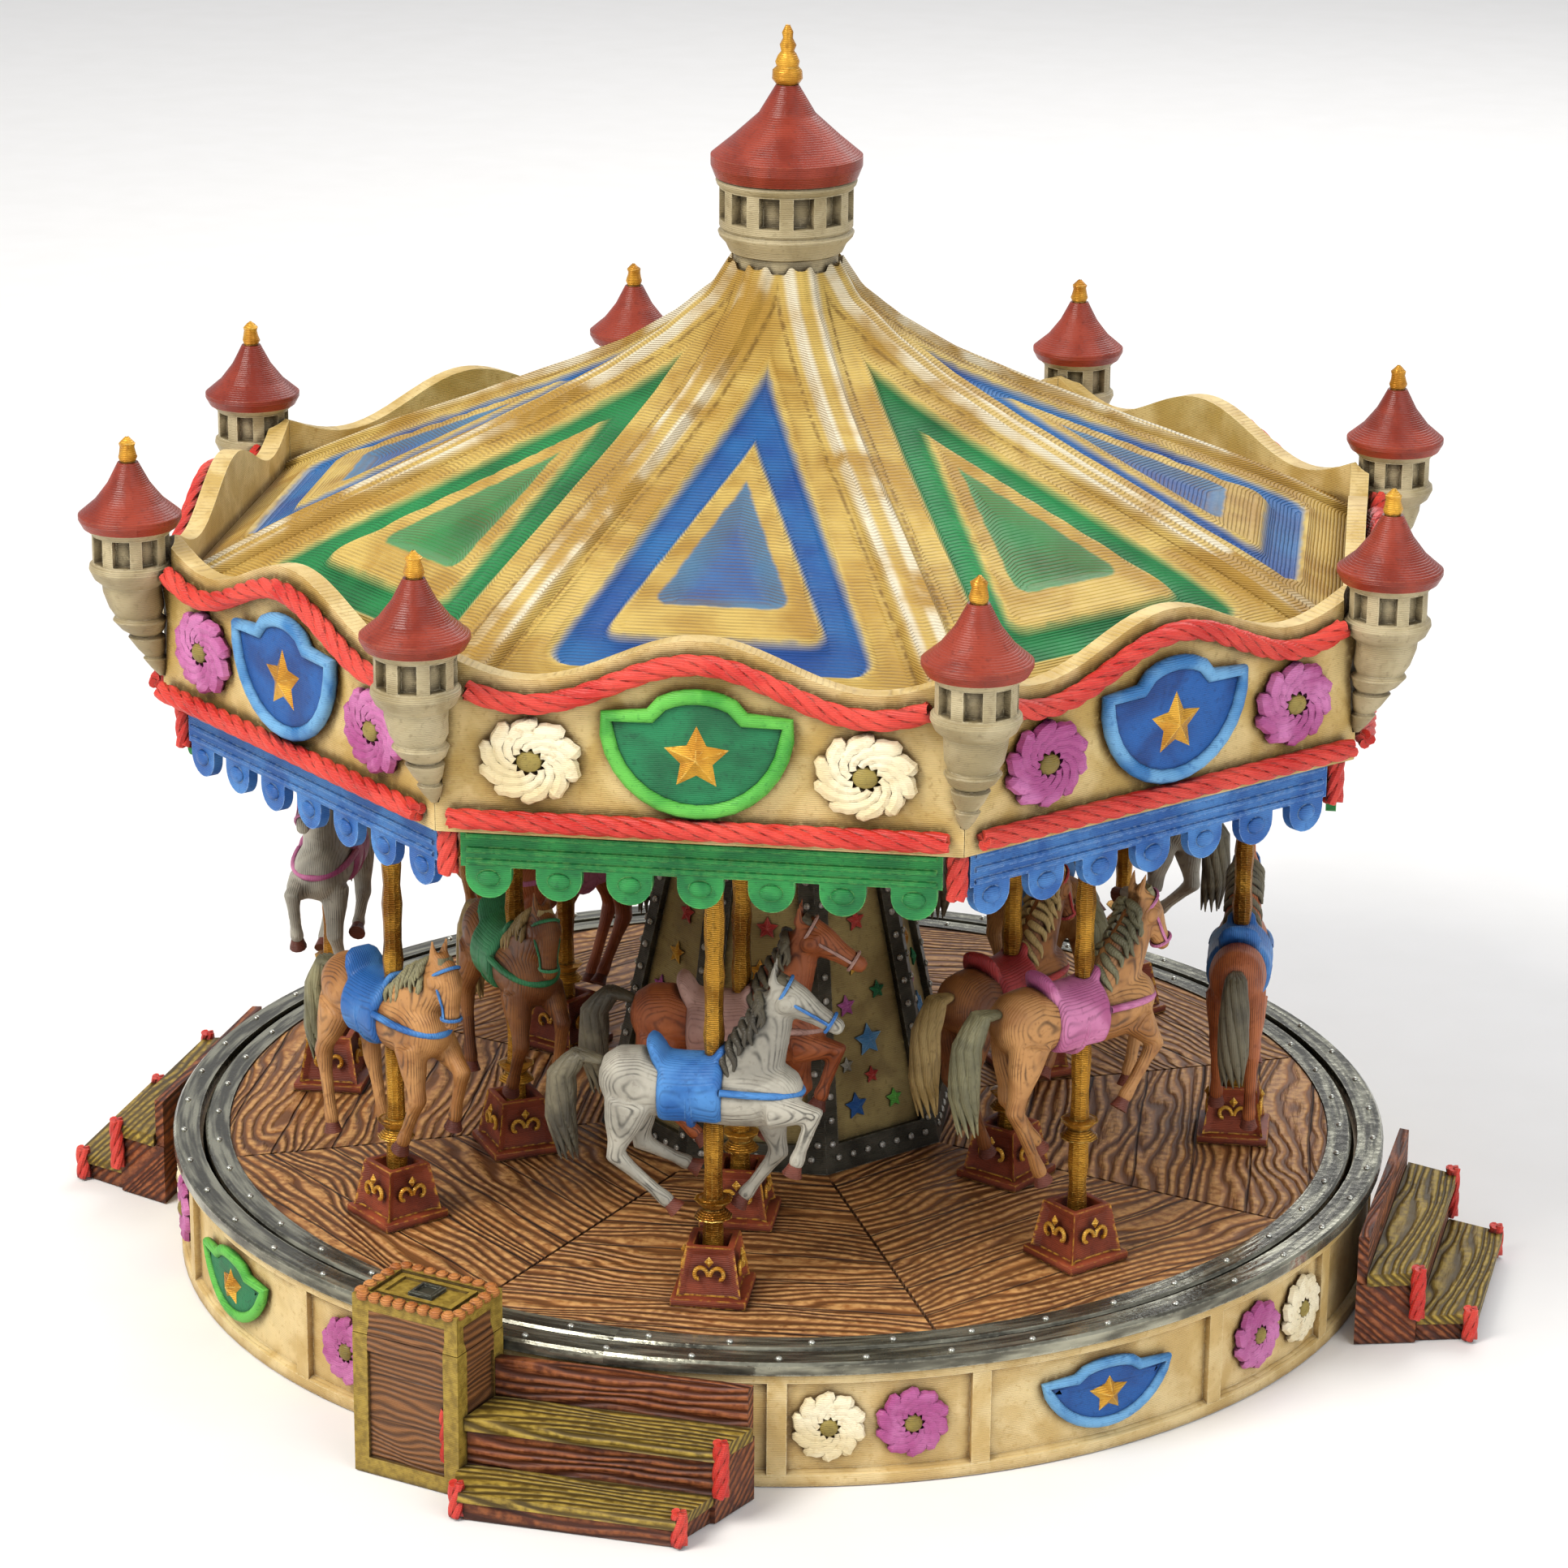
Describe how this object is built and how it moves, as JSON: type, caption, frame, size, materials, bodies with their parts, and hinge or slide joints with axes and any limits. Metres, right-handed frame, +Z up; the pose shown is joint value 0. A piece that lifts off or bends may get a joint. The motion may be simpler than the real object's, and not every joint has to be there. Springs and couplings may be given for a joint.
{
  "type": "model merry-go-round",
  "caption": "Table-top merry-go-round with a turning deck and canopy, horses that slide on gilded poles, a stepped round base and a small booth with a lift-off lid.",
  "frame": {"origin": "centre of the base's underside, on the surface that the model stands on", "axes": "+Z up along the axis of turning; the flight of steps beside the booth faces -Y"},
  "size_m": [0.2406, 0.2406, 0.202],
  "materials": {
    "base_plastic": "printed plastic, unpainted, fine layer lines",
    "cream_paint": "printed plastic, cream and ochre dry-brushed paint with a brown wash",
    "iron_paint": "printed plastic, dark metallic paint",
    "steel": "turned steel",
    "nylon": "plain nylon",
    "brown_wood_paint": "printed plastic, dark brown wood-effect paint",
    "olive_wood_paint": "printed plastic, olive-brown wood-effect paint",
    "red_rope_paint": "printed plastic, bright red paint with a dark wash",
    "blue_paint": "printed plastic, blue paint, lighter on the edges",
    "green_paint": "printed plastic, green paint, lighter on the edges",
    "pink_paint": "printed plastic, pink and cream paint",
    "deck_wood_paint": "printed plastic, brown wood-effect paint",
    "oxblood_paint": "printed plastic, red-brown paint with gold edges",
    "tan_paint": "printed plastic, tan paint",
    "gem_paint": "printed plastic, glossy paint in several colours",
    "roof_paint": "printed plastic, ochre paint with blue and green panels",
    "rib_paint": "printed plastic, ochre paint, white on the crests",
    "stone_paint": "printed plastic, pale stone paint",
    "turret_red_paint": "printed plastic, brick-red paint",
    "gold_paint": "printed plastic, gold paint",
    "horse_grey": "printed plastic, pale grey paint with a dark wash",
    "horse_tan": "printed plastic, tan paint with a dark wash",
    "horse_chestnut": "printed plastic, chestnut paint with a dark wash",
    "horse_bay": "printed plastic, bay paint with a dark wash",
    "horse_black": "printed plastic, black paint"
  },
  "bodies": {
    "base": {"base_floor": "base_plastic", "base_drum": "cream_paint", "fixed_ring": "iron_paint", "spindle": "steel", "thrust_washer": "nylon", "stair_boards": "brown_wood_paint", "stair_treads": "olive_wood_paint", "stair_ropes": "red_rope_paint", "base_shields": "blue_paint", "base_rosettes": "pink_paint", "booth_body": "olive_wood_paint"},
    "rotor": {"deck": "deck_wood_paint", "rotor_ring": "iron_paint", "deck_hub": "base_plastic", "pedestals": "oxblood_paint", "column_core": "tan_paint", "column_frames": "iron_paint", "column_stars": "gem_paint", "canopy_frame": "base_plastic", "canopy_roof": "roof_paint", "roof_ribs": "rib_paint", "turret_bodies": "stone_paint", "turret_roofs": "turret_red_paint", "crown_turret": "stone_paint", "crown_roof": "turret_red_paint", "finials": "gold_paint", "fascia_boards": "cream_paint", "fascia_ropes": "red_rope_paint", "fascia_shields": "green_paint", "fascia_rosettes": "pink_paint", "valances": "green_paint"},
    "booth_lid": {"booth_lid": "olive_wood_paint"},
    "horse_outer_1_and_pole": {"pole_outer_1": "gold_paint", "horse_outer_1": "horse_grey"},
    "horse_outer_2_and_pole": {"pole_outer_2": "gold_paint", "horse_outer_2": "horse_tan"},
    "horse_outer_3_and_pole": {"pole_outer_3": "gold_paint", "horse_outer_3": "horse_chestnut"},
    "horse_outer_4_and_pole": {"pole_outer_4": "gold_paint", "horse_outer_4": "horse_grey"},
    "horse_outer_5_and_pole": {"pole_outer_5": "gold_paint", "horse_outer_5": "horse_bay"},
    "horse_outer_6_and_pole": {"pole_outer_6": "gold_paint", "horse_outer_6": "horse_tan"},
    "horse_outer_7_and_pole": {"pole_outer_7": "gold_paint", "horse_outer_7": "horse_grey"},
    "horse_outer_8_and_pole": {"pole_outer_8": "gold_paint", "horse_outer_8": "horse_tan"},
    "horse_inner_1_and_pole": {"pole_inner_1": "gold_paint", "horse_inner_1": "horse_chestnut"},
    "horse_inner_2_and_pole": {"pole_inner_2": "gold_paint", "horse_inner_2": "horse_bay"},
    "horse_inner_3_and_pole": {"pole_inner_3": "gold_paint", "horse_inner_3": "horse_tan"},
    "horse_inner_4_and_pole": {"pole_inner_4": "gold_paint", "horse_inner_4": "horse_black"},
    "horse_inner_5_and_pole": {"pole_inner_5": "gold_paint", "horse_inner_5": "horse_chestnut"},
    "horse_inner_6_and_pole": {"pole_inner_6": "gold_paint", "horse_inner_6": "horse_bay"}
  },
  "joints": [
    {"name": "carousel_spin", "type": "hinge", "parent": "base", "child": "rotor", "pos_m": [0, 0, 0], "axis": [0, 0, 1], "continuous": true},
    {"name": "booth_lid_lift", "type": "slide", "parent": "base", "child": "booth_lid", "axis": [0, 0, 1], "range_m": [0, 0.014]},
    {"name": "lift_outer_1", "type": "slide", "parent": "rotor", "child": "horse_outer_1_and_pole", "axis": [0, 0, 1], "range_m": [-0.00352, 0.00798]},
    {"name": "lift_outer_2", "type": "slide", "parent": "rotor", "child": "horse_outer_2_and_pole", "axis": [0, 0, 1], "range_m": [-0.01072, 0.00078]},
    {"name": "lift_outer_3", "type": "slide", "parent": "rotor", "child": "horse_outer_3_and_pole", "axis": [0, 0, 1], "range_m": [-0.00113, 0.01037]},
    {"name": "lift_outer_4", "type": "slide", "parent": "rotor", "child": "horse_outer_4_and_pole", "axis": [0, 0, 1], "range_m": [-0.00749, 0.00401]},
    {"name": "lift_outer_5", "type": "slide", "parent": "rotor", "child": "horse_outer_5_and_pole", "axis": [0, 0, 1], "range_m": [-0.00808, 0.00342]},
    {"name": "lift_outer_6", "type": "slide", "parent": "rotor", "child": "horse_outer_6_and_pole", "axis": [0, 0, 1], "range_m": [-0.00088, 0.01062]},
    {"name": "lift_outer_7", "type": "slide", "parent": "rotor", "child": "horse_outer_7_and_pole", "axis": [0, 0, 1], "range_m": [-0.01047, 0.00103]},
    {"name": "lift_outer_8", "type": "slide", "parent": "rotor", "child": "horse_outer_8_and_pole", "axis": [0, 0, 1], "range_m": [-0.00411, 0.00739]},
    {"name": "lift_inner_1", "type": "slide", "parent": "rotor", "child": "horse_inner_1_and_pole", "axis": [0, 0, 1], "range_m": [-0.0024, 0.0091]},
    {"name": "lift_inner_2", "type": "slide", "parent": "rotor", "child": "horse_inner_2_and_pole", "axis": [0, 0, 1], "range_m": [-0.0024, 0.0091]},
    {"name": "lift_inner_3", "type": "slide", "parent": "rotor", "child": "horse_inner_3_and_pole", "axis": [0, 0, 1], "range_m": [-0.0024, 0.0091]},
    {"name": "lift_inner_4", "type": "slide", "parent": "rotor", "child": "horse_inner_4_and_pole", "axis": [0, 0, 1], "range_m": [-0.0024, 0.0091]},
    {"name": "lift_inner_5", "type": "slide", "parent": "rotor", "child": "horse_inner_5_and_pole", "axis": [0, 0, 1], "range_m": [-0.0024, 0.0091]},
    {"name": "lift_inner_6", "type": "slide", "parent": "rotor", "child": "horse_inner_6_and_pole", "axis": [0, 0, 1], "range_m": [-0.0024, 0.0091]}
  ]
}
